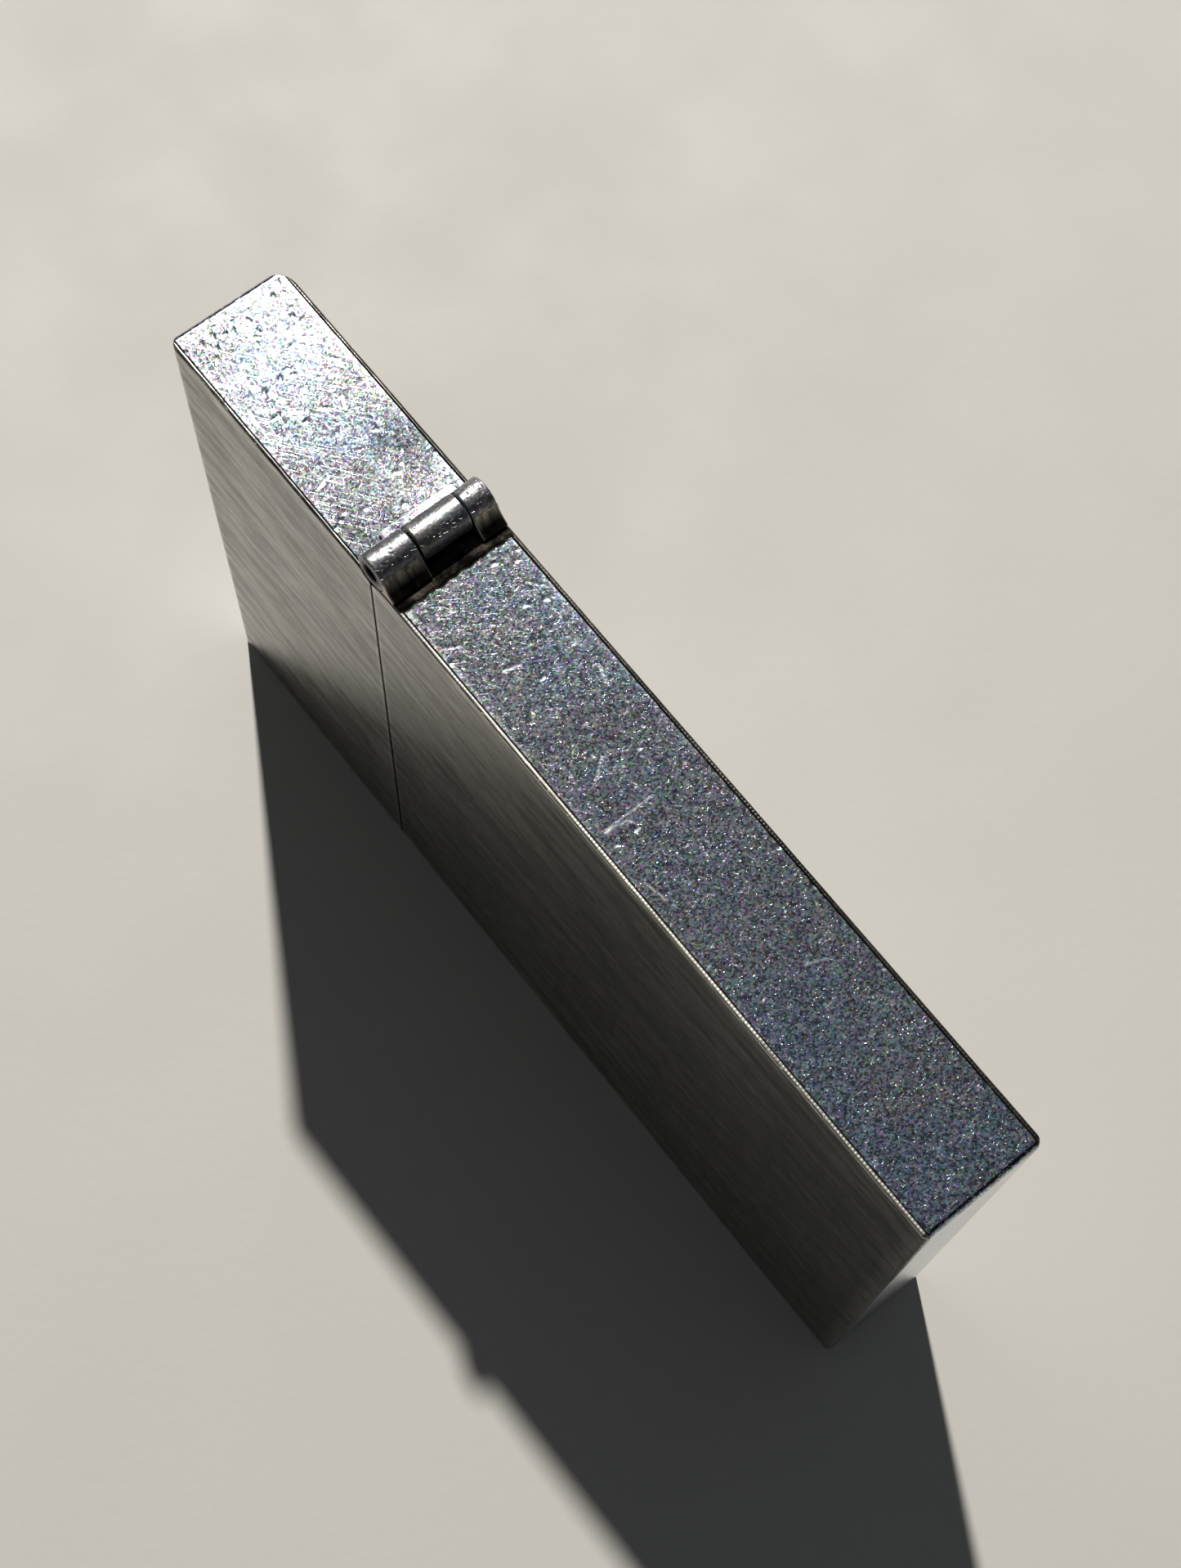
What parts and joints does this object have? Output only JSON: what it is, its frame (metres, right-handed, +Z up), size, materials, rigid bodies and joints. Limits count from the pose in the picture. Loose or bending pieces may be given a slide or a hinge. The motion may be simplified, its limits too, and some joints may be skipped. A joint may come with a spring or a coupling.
{
  "type": "business card case",
  "caption": "Slim rectangular metal card case with a hinged end lid on a three-knuckle barrel hinge and an inner mouth rim.",
  "frame": {"origin": "middle of the long narrow edge that the case stands on", "axes": "X along the length with the lid at -X, Y through the thickness, Z up across the broad faces"},
  "size_m": [0.092, 0.0114, 0.0604],
  "materials": {
    "broad_plate": "worn lengthwise brushed silver, fine engine-turned lines",
    "edge_band": "worn polished silver, pitted and finely scratched",
    "rim": "satin silver, rubbed bright on the part that slides in the lid",
    "knuckle": "satin silver tube, dinged and tarnished",
    "solder": "dressed silver solder, dull",
    "pin": "dark drawn wire"
  },
  "bodies": {
    "case_body": {"body_front_plate": "broad_plate", "body_back_plate": "broad_plate", "body_edge_band": "edge_band", "mouth_rim": "rim", "near_knuckle": "knuckle", "far_knuckle": "knuckle", "near_bearer": "solder", "far_bearer": "solder", "body_hinge_leaf": "solder", "hinge_pin": "pin"},
    "lid": {"lid_front_plate": "broad_plate", "lid_back_plate": "broad_plate", "lid_edge_band": "edge_band", "middle_knuckle": "knuckle", "lid_hinge_leaf": "edge_band"}
  },
  "joints": [
    {"name": "lid_hinge", "type": "hinge", "parent": "case_body", "child": "lid", "pos_m": [-0.0189, 0, 0.0588], "axis": [0, 1, 0], "range_deg": [0, 175]}
  ]
}
